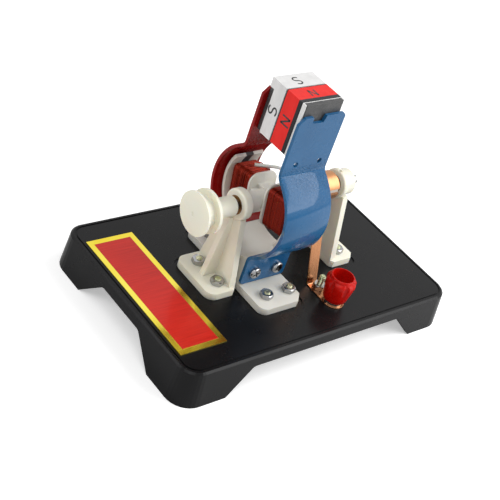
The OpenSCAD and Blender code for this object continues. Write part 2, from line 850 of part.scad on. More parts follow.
// The rear strip; the front one is its mirror image
module pole_strip() {
    notch_x = pole_x + notch_off;
    notch_slant = 1.2;
    difference() {
        translate([pole_left, 0, 0]) rotate([90, 0, 90]) linear_extrude(pole_w) strip_section();
        corner_cut(pole_left, pole_top_z, pole_corner);
        corner_cut(pole_right, pole_top_z, pole_corner_right);
        for (x = [pole_left, pole_right]) corner_cut(x, foot_z + pole_foot_gap, pole_foot_corner);
        translate([notch_x, base_w, pole_top_z]) rotate([90, 0, 0]) linear_extrude(2*base_w) polygon([
            [-notch_w/2 - notch_slant/3, 1], [-notch_w/2, -notch_d],
            [notch_w/2, -notch_d], [notch_w/2 + notch_slant, 1]
        ]);
        for (x = [-1, 1]) translate([pole_x + pole_hole_off + x*pole_hole_sp/2, 0, deck_z + pole_hole_h])
            rotate([90, 0, 0]) cylinder(r = pole_hole_d/2, h = 2*base_w, center = true);
        pole_screw_places() rotate([90, 0, 0]) cylinder(r = bolt_hole_r, h = 2*base_w, center = true);
    }
}

module front_pole_strip() {
    color("steelblue") mirror([0, 1, 0]) pole_strip();
}

module rear_pole_strip() {
    color("firebrick") pole_strip();
}

// Magnet

// A slab of the magnet between y0 and y1, drawn in by inset on both ends and by top_inset at the top
module magnet_slab(y0, y1, inset, top_inset) {
    translate([pole_x - magnet_l/2 + inset, y0, magnet_low_z])
        cube([magnet_l - 2*inset, y1 - y0, magnet_h - top_inset]);
}

// The bare front end, which its frame holds from below and from both sides
module magnet_front_block(y0) {
    translate([0, 0, cover_t]) magnet_slab(y0, front_block_y, cover_t, cover_t + front_block_drop);
}

module magnet_core() {
    color("dimgray") {
        magnet_front_block(magnet_front);
        magnet_slab(front_block_y - eps, south_y1 - eps, cover_t, cover_t);
        magnet_slab(south_y1 - 2*eps, magnet_rear, cover_t, magnet_rear_drop);
    }
}

module cover(y0, y1) {
    difference() {
        magnet_slab(y0, y1, 0, 0);
        magnet_slab(y0 - 1, y1 + 1, cover_t, cover_t);
    }
}

// The white cover, with the cap that reaches back over the bare rear end
module south_cover() {
    color("white") {
        cover(south_y0, south_y1);
        translate([0, 0, magnet_h - magnet_rear_drop])
            magnet_slab(south_y1 - eps, magnet_rear, 0, magnet_h - magnet_rear_drop);
    }
}

module north_cover() {
    color("red") cover(north_y0, north_y1);
}

module magnet_front_frame() {
    color("white") difference() {
        magnet_slab(magnet_front + front_rim_back, north_y0 - cover_seam/4, 0, 0);
        translate([0, 0, cover_t]) magnet_slab(magnet_front - 1, front_block_y, cover_t, 0);
        magnet_slab(front_block_y - eps, north_y0, cover_t, cover_t);
    }
}

// Rotor, drawn with its arms along Y and turned to its rest angle about the shaft

module at_rest() {
    translate([0, 0, axis_z]) rotate([-rotor_tilt, 0, 0]) children();
}

// Outline in Y and Z of a wedge that spans the outer flanges' angle, to both sides
module shoe_wedge() {
    a = shoe_angle/2;
    far = 2*rotor_r;
    for (side = [0, 180]) rotate(side)
        polygon([[0, 0], far*[cos(a), -sin(a)], [far*1.5, 0], far*[cos(a), sin(a)]]);
}

module shoe_outline(inner_r) {
    intersection() {
        difference() {
            circle(r = rotor_r, $fn = 128);
            circle(r = inner_r, $fn = 128);
        }
        shoe_wedge();
    }
}

module along_x(x0, x1) {
    translate([x0, 0, 0]) rotate([90, 0, 90]) linear_extrude(x1 - x0) children();
}

module rotor_core() {
    x0 = rotor_x - core_t/2;
    x1 = rotor_x + core_t/2;
    color("dimgray") at_rest() difference() {
        along_x(x0, x1) union() {
            shoe_outline(rotor_r - shoe_t);
            intersection() {
                square([2*(rotor_r - shoe_t/2), arm_w], center = true);
                circle(r = rotor_r - shoe_t/2, $fn = 128);
            }
        }
        translate([x0 - 1, 0, 0]) rotate([0, 90, 0]) cylinder(r = shaft_r, h = core_t + 2);
    }
}

// Inner flange as an outline in X and Z, and the insulation round the arm
module inner_flanges() {
    for (side = [-1, 1]) {
        translate([rotor_x, side*(inner_flange_r + inner_flange_t/2), 0]) rotate([90, 0, 0])
            linear_extrude(inner_flange_t, center = true)
            rounded_rect(rotor_l, inner_flange_h, inner_flange_corner);
    }
}

module rotor_frame() {
    reach = rotor_r - shoe_t + 0.2;
    difference() {
        union() {
            along_x(rotor_x - rotor_l/2, rotor_x + rotor_l/2) shoe_outline(rotor_r - shoe_t);
            inner_flanges();
            along_x(rotor_x - skin_t, rotor_x + skin_t) intersection() {
                square([2*reach, 2*skin_w], center = true);
                circle(r = reach, $fn = 128);
            }
            along_x(rotor_x - rotor_l/2, rotor_x + rotor_l/2) circle(r = hub_d/2);
            along_x(hub_left, commutator_x0) circle(r = hub_d/2);
            along_x(rotor_x - rotor_l/2 + 1, rotor_x + rotor_l/2 - 1)
                square([2*inner_flange_r + eps, hub_d*0.7], center = true);
        }
        along_x(hub_left - 1, commutator_x0 + 1) circle(r = shaft_r);
        along_x(rotor_x - core_t/2, rotor_x + core_t/2) {
            square([2*rotor_r, arm_w], center = true);
            shoe_outline(rotor_r - shoe_t);
        }
        along_x(rotor_x - core_t/2, rotor_x + core_t/2) difference() {
            circle(r = rotor_r + 1);
            circle(r = rotor_r - shoe_t);
        }
    }
}

// Half of the frame on one side of the rotor's middle plane
module half_space(side) {
    size = 3*rotor_r;
    translate([rotor_x + (side < 0 ? -size : 0), -size/2, -size/2]) cube([size, size, size]);
}

module rotor_frame_left() {
    color("ivory") at_rest() intersection() {
        rotor_frame();
        half_space(-1);
    }
}

module rotor_frame_right() {
    color("ivory") at_rest() intersection() {
        rotor_frame();
        half_space(1);
    }
}

// Windings

// Point t of one turn round the rounded rectangle, in X and Z, with t from 0 to 1.
// Each side has one point in its middle, and each corner five along its arc.
function turn_point(k) =
    let (quarter = floor(k/6), step = k % 6, r = coil_corner_r,
        sx = (quarter == 0 || quarter == 3) ? 1 : -1,
        sz = quarter < 2 ? 1 : -1,
        start = 90*quarter,
        mid = quarter % 2 == 0 ? [sx*wire_a, 0] : [0, sz*wire_b],
        a = start + 90*(step - 1)/4,
        cx = sx*(wire_a - r), cz = sz*(wire_b - r))
    step == 0 ? mid : [cx + r*cos(a), cz + r*sin(a)];

// The whole path: a square end at the inner flange, the turns, and a square end at the outer flange
loop_points = [for (i = [0:coil_loops*ring_count])
    let (p = turn_point(i % ring_count)) [p[0], wire_y0 + wire_pitch*i/ring_count, p[1]]];

bend_steps = 3;
start_bend = [for (i = [bend_steps:-1:1])
    let (a = 90*i/bend_steps)
    loop_points[0] + [0, -wire_bend*(1 - cos(a)), -wire_bend*sin(a)]];
start_end = start_bend[0] - [0, wire_stub, 0];
last_point = loop_points[len(loop_points) - 1];
end_bend = [for (i = [1:bend_steps])
    let (a = 90*i/bend_steps)
    last_point + [0, wire_bend*(1 - cos(a)), wire_bend*sin(a)]];
end_z = end_bend[bend_steps - 1][2];
end_y = sqrt(pow(rotor_r - shoe_t, 2) - pow(end_z + wire_r, 2)) - eps;
end_end = [wire_a, end_y, end_z];
wire_path = concat([start_end], start_bend, loop_points, end_bend, [end_end]);

function unit(v) = v/norm(v);
function path_way(p, i) =
    i == 0 ? unit(p[1] - p[0])
    : i == len(p) - 1 ? unit(p[i] - p[i - 1])
    : unit(unit(p[i] - p[i - 1]) + unit(p[i + 1] - p[i]));

// Carries the last ring's side along the path, so that the tube doesn't twist
function carried(p, i, side) =
    let (way = path_way(p, i), s = side - way*(side*way)) unit(s);
function sides_along(p, i, side) =
    i >= len(p) ? []
    : let (s = carried(p, i, side)) concat([s], sides_along(p, i + 1, s));

module tube(p, r, sides) {
    n = len(p);
    across = sides_along(p, 0, [1, 0, 0]);
    points = [for (i = [0:n - 1])
        let (way = path_way(p, i), u = across[i], v = cross(way, u))
        for (j = [0:sides - 1]) p[i] + r*(cos(360*j/sides)*u + sin(360*j/sides)*v)];
    walls = [for (i = [0:n - 2], j = [0:sides - 1])
        let (k = (j + 1) % sides, a = i*sides + j, b = i*sides + k, c = a + sides, d = b + sides)
        each [[a, d, b], [a, c, d]]];
    caps = [[for (j = [0:sides - 1]) j], [for (j = [sides - 1:-1:0]) (n - 1)*sides + j]];
    polyhedron(points = points, faces = concat(walls, caps), convexity = 10);
}

// Least distance between the surfaces of two turns, from points more than a third of a turn apart
turn_gaps = [for (i = [0:2:len(wire_path) - 1], j = [i + 9:1:min(len(wire_path) - 1, i + 40)])
    norm(wire_path[i] - wire_path[j])];
least_gap = min(turn_gaps) - wire_d;
echo(least_gap_between_turns = least_gap);

// Plain inner layers: a rounded ring round the arm's insulation
module coil_bulk() {
    grow = wire_d + wire_clear;
    translate([rotor_x, coil_y1, 0]) rotate([90, 0, 0]) linear_extrude(coil_l) difference() {
        rounded_rect(coil_w - 2*grow, coil_h - 2*grow, coil_corner_r - wire_r - wire_clear);
        square([2*skin_t, 2*skin_w], center = true);
    }
}

module coil() {
    coil_bulk();
    translate([rotor_x, 0, 0]) tube(wire_path, wire_r, wire_sides);
}

module rear_coil() {
    color("darkred") at_rest() coil();
}

module front_coil() {
    color("darkred") at_rest() rotate([180, 0, 0]) coil();
}

// A sleeved lead from its winding to the commutator, with its corners rounded
lead_clear = 0.15;
lead_r = lead_d/2;
lead_z = coil_h/2 + lead_r + lead_clear;
lead_start_y = 6.2;
lead_turn_y = 0.6;
lead_end_y = 1;
lead_straight = 3.4;
lead_bend = 1.7;
lead_bend_steps = 4;
lead_end_z = commutator_r - segment_t/2;
lead_points = [
    [rotor_x, coil_y0 + lead_start_y, lead_z],
    [rotor_x + rotor_l/2 + lead_r + 2*lead_clear, coil_y0 + lead_turn_y, lead_z],
    [commutator_x0 - lead_straight, lead_end_y, lead_end_z],
    [commutator_x0 - eps, lead_end_y, lead_end_z]
];

// Corner b of the path from a to c, as points on a curve that leaves the straights at the reach
function rounded_corner(a, b, c, reach, steps) =
    let (from = b + reach*unit(a - b), to = b + reach*unit(c - b))
    [for (i = [0:steps]) let (t = i/steps) (1 - t)*(1 - t)*from + 2*t*(1 - t)*b + t*t*to];

module lead() {
    last = len(lead_points) - 1;
    corners = [for (i = [1:last - 1])
        each rounded_corner(lead_points[i - 1], lead_points[i], lead_points[i + 1],
            lead_bend, lead_bend_steps)];
    tube(concat([lead_points[0]], corners, [lead_points[last]]), lead_r, 8);
}

module rear_lead() {
    color("whitesmoke") at_rest() lead();
}

module front_lead() {
    color("whitesmoke") at_rest() rotate([180, 0, 0]) lead();
}

// Shaft, pulley and commutator

module shaft() {
    tip = 0.5;
    color("lightgray") about_axis() polygon([
        [0, shaft_left], [shaft_r, shaft_left], [shaft_r, shaft_right - tip],
        [shaft_r - tip, shaft_right], [0, shaft_right]
    ]);
}

module pulley() {
    x0 = pulley_left;
    x1 = pulley_left + pulley_w;
    f = pulley_flange_t;
    r = pulley_d/2;
    color("ivory") about_axis() difference() {
        union() {
            intersection() {
                boss_profile(r, x0, x0 + f, pulley_edge/2, pulley_edge/2);
                translate([0, x0 + pulley_dome_r]) circle(r = pulley_dome_r, $fn = 256);
            }
            boss_profile(r, x1 - f, x1, pulley_edge/2, pulley_edge);
            translate([0, x0 + f/2]) square([pulley_groove_d/2, pulley_w - f]);
            boss_profile(pulley_hub_d/2, x1 - eps, pulley_right, 0, pulley_edge);
        }
        translate([0, shaft_left]) square([shaft_r, pulley_right - shaft_left + 1]);
        translate([0, x0 - 1]) square([pulley_dimple_r, 1 + pulley_dimple]);
    }
}

module commutator_core() {
    color("gainsboro") about_axis() translate([shaft_r, commutator_x0])
        square([commutator_r - segment_t - shaft_r, commutator_l]);
}

// One copper half ring, between slots that lie along the arms
module segment() {
    size = commutator_d;
    difference() {
        along_x(commutator_x0, commutator_x1) difference() {
            circle(r = commutator_r);
            circle(r = commutator_r - segment_t);
        }
        translate([commutator_x0 - 1, -size, -size]) cube([commutator_l + 2, 2*size, size + slot_w/2]);
    }
}

module upper_segment() {
    color("chocolate") at_rest() segment();
}

module lower_segment() {
    color("chocolate") at_rest() rotate([180, 0, 0]) segment();
}

// Brush strips and terminals

// Lean of the front brush from upright: the line from its bend that just clears the commutator
brush_foot_z = brush_t + brush_bend_r;
brush_span = norm([brush_bend_y, axis_h - brush_foot_z]);
brush_reach = commutator_r + brush_gap + brush_bend_r + brush_t;
brush_lean = atan2(brush_bend_y, axis_h - brush_foot_z) - asin(brush_reach/brush_span);
brush_len = sqrt(pow(brush_span, 2) - pow(brush_reach, 2)) + brush_tip;

// Section of the rear brush in Y and Z: an upright leg that leans to the shaft, a bend and a short tab
module brush_section() {
    far = 4*(brush_bend_r + brush_t);
    lean = [-cos(brush_lean), -sin(brush_lean)];
    translate([brush_bend_y, deck_z + brush_foot_z]) {
        rotate(brush_lean) translate([-brush_bend_r - brush_t, 0]) square([brush_t, brush_len]);
        intersection() {
            difference() {
                circle(r = brush_bend_r + brush_t);
                circle(r = brush_bend_r);
            }
            polygon([[0, 0], [0, -far], [-far, -far], 2*far*lean + [0, seam_lap]]);
        }
    }
    translate([brush_bend_y, deck_z]) square([brush_w/2, brush_t]);
}

module brush_strip() {
    eye = [terminal_x, terminal_y];
    half = brush_w/2;
    neck_y = brush_bend_y + brush_w;
    difference() {
        union() {
            translate([brush_x - half, 0, 0]) rotate([90, 0, 90]) linear_extrude(brush_w) brush_section();
            // Flat tab with its eyelet
            translate([0, 0, deck_z]) linear_extrude(brush_t) {
                translate(eye) circle(r = eyelet_d/2);
                polygon(concat([[brush_x - half, brush_bend_y], [brush_x + half, brush_bend_y]],
                    [tangent_point([brush_x + half, neck_y], eye, eyelet_d/2, 1),
                     tangent_point([brush_x - half, neck_y], eye, eyelet_d/2, -1)]));
            }
        }
        translate([eye[0], eye[1], 0]) cylinder(r = stud_d/2 + 0.1, h = axis_z);
        brush_bolt_places() bolt_hole();
    }
}

// Where the line from p touches the circle about c; side is 1 for the right touch and -1 for the left
function tangent_point(p, c, r, side) =
    let (d = c - p, dist = norm(d), base = atan2(d[1], d[0]), half = asin(r/dist),
        a = base - side*half, l = sqrt(dist*dist - r*r))
    p + l*[cos(a), sin(a)];

module rear_brush() {
    color("chocolate") brush_strip();
}

module front_brush() {
    color("chocolate") mirror([0, 1, 0]) brush_strip();
}

// Stud up through the deck and the eyelet
module stud(y) {
    tip = 0.5;
    low = under_z - stud_nut_h - stud_tail;
    top = deck_z + stud_h;
    color("khaki") translate([terminal_x, y, 0]) rotate_extrude() polygon([
        [0, low], [stud_d/2 - tip, low], [stud_d/2, low + tip],
        [stud_d/2, top - tip], [stud_d/2 - tip, top], [0, top]
    ]);
}

module front_stud() {
    stud(-terminal_y);
}

module rear_stud() {
    stud(terminal_y);
}

module stud_nuts() {
    for (y = [-1, 1]) translate([terminal_x, y*terminal_y, 0])
        nut(under_z - stud_nut_h, stud_nut_af, stud_nut_h, stud_d/2);
}

module washer(y) {
    color("silver") translate([terminal_x, y, deck_z + brush_t]) difference() {
        cylinder(r = washer_d/2, h = washer_t);
        translate([0, 0, -1]) cylinder(r = stud_d/2 + running_gap, h = washer_t + 2);
    }
}

module front_washer() {
    washer(-terminal_y);
}

module rear_washer() {
    washer(terminal_y);
}

// Lobed knob, hollow above its thread
module knob_body() {
    foot_r = knob_foot_d/2;
    wide_r = knob_d/2;
    rim_r = knob_rim_d/2;
    wide_z = knob_h*0.6;
    shoulder_z = knob_h - 1.6;
    floor_z = knob_h - knob_hollow;
    groove_at = wide_r + knob_groove_d/2 - 1.1;
    difference() {
        rotate_extrude() polygon([
            [0, 0], [foot_r - 1, 0], [foot_r, 1], [wide_r - 0.25, wide_z], [wide_r, wide_z + 2],
            [wide_r - 0.1, shoulder_z - 0.6], [wide_r - 0.7, shoulder_z], [rim_r, shoulder_z + 0.3],
            [rim_r - 0.1, knob_h - 0.4], [rim_r - 0.5, knob_h], [0, knob_h]
        ]);
        for (i = [0:knob_grooves - 1]) rotate(360*i/knob_grooves + 10) translate([groove_at, 0, -1])
            cylinder(r = knob_groove_d/2, h = knob_h + 2);
        translate([0, 0, floor_z]) cylinder(r = knob_hollow_d/2, h = knob_h);
        translate([0, 0, -1]) cylinder(r = stud_d/2 + running_gap, h = knob_h);
    }
}

module front_knob() {
    color("red") translate([terminal_x, -terminal_y, knob_z]) knob_body();
}

module rear_knob() {
    color("dimgray") translate([terminal_x, terminal_y, knob_z]) knob_body();
}

base_tray();
label_plate();
left_bearing_bracket();
right_bearing_bracket();
left_bush();
right_bush();
bracket_bolts();
bracket_nuts();
stator_saddle();
saddle_bolts();
saddle_nuts();
front_pole_strip();
rear_pole_strip();
pole_screws();
magnet_core();
south_cover();
north_cover();
magnet_front_frame();
shaft();
pulley();
rotor_core();
rotor_frame_left();
rotor_frame_right();
front_coil();
rear_coil();
front_lead();
rear_lead();
commutator_core();
upper_segment();
lower_segment();
front_brush();
rear_brush();
brush_bolts();
brush_nuts();
front_stud();
rear_stud();
stud_nuts();
front_washer();
rear_washer();
front_knob();
rear_knob();
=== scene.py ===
# Looks of the demonstration direct current motor, in metres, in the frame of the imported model.
import math
import random

import bpy
from mathutils import Euler, Matrix, Vector


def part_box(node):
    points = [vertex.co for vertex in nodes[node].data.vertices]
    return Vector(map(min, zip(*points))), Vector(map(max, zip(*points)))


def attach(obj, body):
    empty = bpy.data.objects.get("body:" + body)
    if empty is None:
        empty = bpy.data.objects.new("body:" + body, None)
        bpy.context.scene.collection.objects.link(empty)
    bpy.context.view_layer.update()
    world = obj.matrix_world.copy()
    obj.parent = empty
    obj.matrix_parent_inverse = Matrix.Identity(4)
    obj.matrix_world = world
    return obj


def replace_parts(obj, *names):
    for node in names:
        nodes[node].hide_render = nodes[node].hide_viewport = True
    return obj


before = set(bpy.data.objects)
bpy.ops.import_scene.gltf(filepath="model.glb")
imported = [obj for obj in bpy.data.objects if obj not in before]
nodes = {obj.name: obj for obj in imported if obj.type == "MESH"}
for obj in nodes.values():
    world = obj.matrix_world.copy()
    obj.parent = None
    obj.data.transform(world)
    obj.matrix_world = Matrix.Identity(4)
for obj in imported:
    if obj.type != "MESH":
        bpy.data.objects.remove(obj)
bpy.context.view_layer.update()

MM = 0.001
UM = 0.000001

# Camera: a pinhole fitted to the photograph's edges, its turn in degrees
CAMERA_PLACE = (-0.332674, -0.270884, 0.325536)
CAMERA_TURN = (52.87667, -16.35428, -37.69375)
CAMERA_LENS = 83.4
CAMERA_SENSOR = 36
CLIP_NEAR, CLIP_FAR = 0.01, 20

# Rotor: the height of its axis, the middle of its arms along X, and their tilt at rest
AXIS_Z = 57.4*MM
ROTOR_X = -13.75*MM
TILT = math.radians(9)

# Windings: their reach along the arms, their half widths in X and Z, and their rounded corners
COIL_Y0, COIL_Y1 = 5.9*MM, 17.9*MM
COIL_A, COIL_B = 6.8*MM, 9.0*MM
COIL_CORNER_R = 1.9*MM
TURN_STEPS = 44

# Wire, and how far a turn of the outer layer may shift along the arm or sink into the coil
WIRE_R = 0.2*MM
WIRE_SIDES = 8
WIRE_PITCH = 2.06*WIRE_R
LAYER_DEPTH = 1.7*WIRE_R
TURN_SHIFT = 0.09*MM
TURN_SINK = 0.16*MM

# Loose turns over the outer layer: where they start on the arm, how far they wander and stand off
LOOSE_FROM, LOOSE_TO = 2.4*MM, 8.4*MM
LOOSE_DRIFT = 2.2*MM
LOOSE_SWELL = 0.22*MM
LOOSE_SPREAD = 0.01

# Plain inner layers under the wire
FILLER_DEPTH = 4*WIRE_R
FILLER_CORNER_R = 0.6*COIL_CORNER_R
FILLER_STEPS = 40

# Label: its border, the dark line inside it, and the blur of their edges
LABEL_BORDER = 2.6*MM
LABEL_LINE = 0.2*MM
LABEL_BLUR = 0.06*MM

# Dark bands at the front and rear of the red cover, and the waver and blur of their edges
FRONT_BAND, REAR_BAND = 2.0*MM, 0.4*MM
BAND_WAVER, BAND_BLUR = 0.06*MM, 0.04*MM

# Heights between which the enamel's grit grows to its full strength, and fades at the upper crease
GRIT_FROM, GRIT_FULL = 69*MM, 76*MM
GRIT_FADES, GRIT_ENDS = 82.5*MM, 84*MM
CREASE_GRIT = 1.6
PATCH_GRIT = 0.35

# Threads, the sheets of the iron stack, and the ribs of the sleeving, whose wave has a scale of 420
WAVE_SCALE = math.tau/20
FINE_THREAD, COARSE_THREAD = 0.5*MM, 0.7*MM
SHEET_T = 0.5*MM
SLEEVE_RIB = WAVE_SCALE/420

# Softened edges: how near points merge, and the angles in degrees above which an edge counts
MERGE = 2*UM
EDGE_ANGLE, STRIP_ANGLE = 40, 60
STRIP_EDGE = 0.07*MM

# Pole letters: how far they go into and stand off the covers, and the arcs of an S in degrees
LETTER_SUNK, LETTER_PROUD = 0.02*MM, 0.03*MM
S_START, S_SWEEP, S_STEPS = 35, 235, 16

# Studio
FLOOR_REACH = 6
FLOOR_TONE = (0.86, 0.86, 0.86, 1)
FLOOR_GLOW = 0.42
AMBIENT = 0.42
MIDDLE = (0, 0, 50*MM)


def add_object(name, data):
    piece = bpy.data.objects.new(name, data)
    bpy.context.scene.collection.objects.link(piece)
    return piece


camera_data = bpy.data.cameras.new("camera")
camera_data.lens = CAMERA_LENS
camera_data.sensor_width = CAMERA_SENSOR
camera_data.clip_start = CLIP_NEAR
camera_data.clip_end = CLIP_FAR
camera = add_object("camera", camera_data)
camera.location = CAMERA_PLACE
camera.rotation_euler = Euler([math.radians(a) for a in CAMERA_TURN], "XYZ")
bpy.context.scene.camera = camera


# Math node of two inputs, each a number or another node's output
def math_node(tree, operation, a, b=None):
    node = tree.nodes.new("ShaderNodeMath")
    node.operation = operation
    for index, value in enumerate((a, b)):
        if value is None:
            continue
        if isinstance(value, (int, float)):
            node.inputs[index].default_value = value
        else:
            tree.links.new(value, node.inputs[index])
    return node.outputs["Value"]


# Material helpers: positions are the object's own, so a pattern stays on a piece that moves
class Surface:
    def __init__(self, name, colour, roughness, metallic=0.0, **sockets):
        self.material = bpy.data.materials.new(name)
        self.material.use_nodes = True
        self.tree = self.material.node_tree
        self.shader = self.tree.nodes["Principled BSDF"]
        self.set("Base Color", (*colour, 1))
        self.set("Roughness", roughness)
        self.set("Metallic", metallic)
        for key, value in sockets.items():
            self.set(key.replace("_", " "), value)
        self.place = self.tree.nodes.new("ShaderNodeTexCoord").outputs["Object"]
        self.height = None

    def set(self, socket, value):
        self.shader.inputs[socket].default_value = value

    def link(self, output, socket):
        self.tree.links.new(output, self.shader.inputs[socket])

    def stretched(self, scale):
        node = self.tree.nodes.new("ShaderNodeMapping")
        node.inputs["Scale"].default_value = scale
        self.tree.links.new(self.place, node.inputs["Vector"])
        return node.outputs["Vector"]

    def noise(self, scale, detail=3.0, rough=0.55, place=None):
        node = self.tree.nodes.new("ShaderNodeTexNoise")
        node.inputs["Scale"].default_value = scale
        node.inputs["Detail"].default_value = detail
        node.inputs["Roughness"].default_value = rough
        self.tree.links.new(place or self.place, node.inputs["Vector"])
        return node.outputs["Fac"]

    def cells(self, scale):
        node = self.tree.nodes.new("ShaderNodeTexVoronoi")
        node.inputs["Scale"].default_value = scale
        self.tree.links.new(self.place, node.inputs["Vector"])
        return node.outputs["Distance"]

    # Even waves along an axis: WAVE_SCALE, a twentieth of a full circle, gives one to the metre
    def waves(self, pitch, axis, distortion=0.0):
        node = self.tree.nodes.new("ShaderNodeTexWave")
        node.bands_direction = axis
        node.inputs["Scale"].default_value = WAVE_SCALE/pitch
        node.inputs["Distortion"].default_value = distortion
        node.inputs["Detail"].default_value = 1.0
        self.tree.links.new(self.place, node.inputs["Vector"])
        return node.outputs["Fac"]

    def span(self, fac, low, high, out_low=0.0, out_high=1.0):
        node = self.tree.nodes.new("ShaderNodeMapRange")
        node.inputs["From Min"].default_value = low
        node.inputs["From Max"].default_value = high
        node.inputs["To Min"].default_value = out_low
        node.inputs["To Max"].default_value = out_high
        self.tree.links.new(fac, node.inputs["Value"])
        return node.outputs["Result"]

    def axis(self, letter):
        node = self.tree.nodes.new("ShaderNodeSeparateXYZ")
        self.tree.links.new(self.place, node.inputs["Vector"])
        return node.outputs[letter]

    def math(self, operation, a, b=None):
        return math_node(self.tree, operation, a, b)

    def blend(self, fac, a, b):
        node = self.tree.nodes.new("ShaderNodeMix")
        node.data_type = "RGBA"
        for socket, value in ((0, fac), (6, a), (7, b)):
            if isinstance(value, tuple):
                node.inputs[socket].default_value = (*value, 1)
            else:
                self.tree.links.new(value, node.inputs[socket])
        return node.outputs[2]

    def colour(self, output):
        self.link(output, "Base Color")

    def bump(self, height, distance, strength=1.0):
        node = self.tree.nodes.new("ShaderNodeBump")
        node.inputs["Distance"].default_value = distance
        node.inputs["Strength"].default_value = strength
        self.tree.links.new(height, node.inputs["Height"])
        if self.height is not None:
            self.tree.links.new(self.height, node.inputs["Normal"])
        self.height = node.outputs["Normal"]
        self.link(self.height, "Normal")

    # Colour that drifts between two tones at one scale
    def drift(self, dark, light, scale, detail=3.0, rough=0.55, low=0.3, high=0.7, place=None):
        return self.blend(self.span(self.noise(scale, detail, rough, place), low, high), dark, light)

    # Colour that drifts between two tones at a coarse and a fine scale together
    def mottle(self, dark, light, coarse, fine):
        mix = self.math("MULTIPLY", self.noise(coarse, 4), self.noise(fine, 2))
        self.colour(self.blend(self.span(mix, 0.12, 0.4), dark, light))

    # Small round specks, in some patches only
    def specks(self, scale, core, rim, patch_scale, patch_edge):
        dots = self.span(self.cells(scale), core, rim, 1, 0)
        patches = self.span(self.noise(patch_scale, 2), 0.6, patch_edge)
        return self.math("MULTIPLY", dots, patches)

    def uneven_gloss(self, low, high, scale):
        self.link(self.span(self.noise(scale, 5, 0.6), 0.3, 0.7, low, high), "Roughness")

    # Distance inward from the nearer of two limits on one axis
    def depth_inside(self, letter, low, high):
        off_centre = self.math("ABSOLUTE", self.math("SUBTRACT", self.axis(letter), (low + high)/2))
        return self.math("SUBTRACT", (high - low)/2, off_centre)


def black_plastic():
    skin = Surface("tray_plastic", (0.006, 0.006, 0.0065), 0.24, Specular_IOR_Level=0.16)
    plastic = skin.drift((0.004, 0.004, 0.0045), (0.008, 0.008, 0.0085), 14, 4, low=0.35)
    dust = skin.specks(620, 0.02, 0.045, 230, 0.66)
    skin.colour(skin.blend(dust, plastic, (0.11, 0.11, 0.105)))
    skin.uneven_gloss(0.2, 0.34, 35)
    skin.bump(skin.noise(2600, 3), 12*UM)
    skin.bump(skin.noise(45, 2), 120*UM, 0.5)
    return skin.material


# Bare red field in a gold border, with a dark line between the two
def label_print(low, high):
    skin = Surface("label_print", (0.6, 0.02, 0.01), 0.3, Coat_Weight=0.2, Coat_Roughness=0.12,
                   Specular_IOR_Level=0.25)
    in_x, in_y = skin.depth_inside("X", low.x, high.x), skin.depth_inside("Y", low.y, high.y)
    inside = skin.math("MINIMUM", in_x, in_y)
    field = skin.span(inside, LABEL_BORDER - LABEL_BLUR, LABEL_BORDER + LABEL_BLUR)
    line = skin.math("MULTIPLY", skin.span(inside, LABEL_BORDER, LABEL_BORDER + LABEL_LINE, 1, 0), field)
    red = skin.drift((0.5, 0.01, 0.005), (0.64, 0.018, 0.008), 60, 3, 0.6, place=skin.stretched((1, 26, 1)))
    gold = skin.drift((0.86, 0.66, 0.03), (0.98, 0.85, 0.12), 34)
    skin.colour(skin.blend(line, skin.blend(field, gold, red), (0.35, 0.1, 0.01)))
    skin.link(skin.span(field, 0, 1, 0.95, 0.15), "Metallic")
    skin.link(skin.span(field, 0, 1, 0.16, 0.34), "Roughness")
    skin.bump(skin.noise(900, 3), 10*UM)
    skin.bump(field, 30*UM)
    return skin.material


def nylon(name, dark, light, glow=0.35):
    skin = Surface(name, light, 0.4, Subsurface_Weight=glow, Subsurface_Scale=2.2*MM, IOR=1.5)
    skin.set("Subsurface Radius", (1.0, 0.78, 0.5))
    skin.colour(skin.drift(dark, light, 26, 3, 0.5))
    skin.uneven_gloss(0.33, 0.5, 160)
    skin.bump(skin.noise(1700, 3), 20*UM)
    skin.bump(skin.noise(120, 2), 120*UM, 0.5)
    return skin.material


def bright_steel():
    light = (0.44, 0.44, 0.45)
    skin = Surface("bright_steel", light, 0.16, 1.0)
    skin.mottle(tuple(c*0.78 for c in light), light, 150, 900)
    skin.uneven_gloss(0.06, 0.22, 400)
    skin.bump(skin.noise(900, 2, 0.5, skin.stretched((1, 1, 5))), 20*UM)
    return skin.material


# Thread of the given pitch on upright studs and bolts, as rings in the bump
def threaded(name, colour, tint, pitch):
    skin = Surface(name, colour, 0.26, 1.0)
    skin.colour(skin.drift(colour, tint, 260, low=0.35, high=0.68))
    skin.uneven_gloss(0.18, 0.4, 500)
    skin.bump(skin.waves(pitch, "Z"), 220*UM)
    return skin.material


def shaft_steel():
    skin = Surface("shaft_steel", (0.5, 0.51, 0.5), 0.25, 1.0, Anisotropic=0.4)
    skin.mottle((0.34, 0.35, 0.33), (0.56, 0.57, 0.56), 90, 700)
    rings = skin.noise(180, 4, 0.7, skin.stretched((22, 0.3, 0.3)))
    skin.link(skin.span(rings, 0.3, 0.7, 0.16, 0.36), "Roughness")
    skin.bump(rings, 20*UM)
    return skin.material


def bronze():
    skin = Surface("sintered_bronze", (0.45, 0.25, 0.1), 0.42, 0.9)
    skin.mottle((0.2, 0.1, 0.04), (0.52, 0.3, 0.13), 300, 2600)
    skin.bump(skin.cells(2600), 30*UM)
    return skin.material


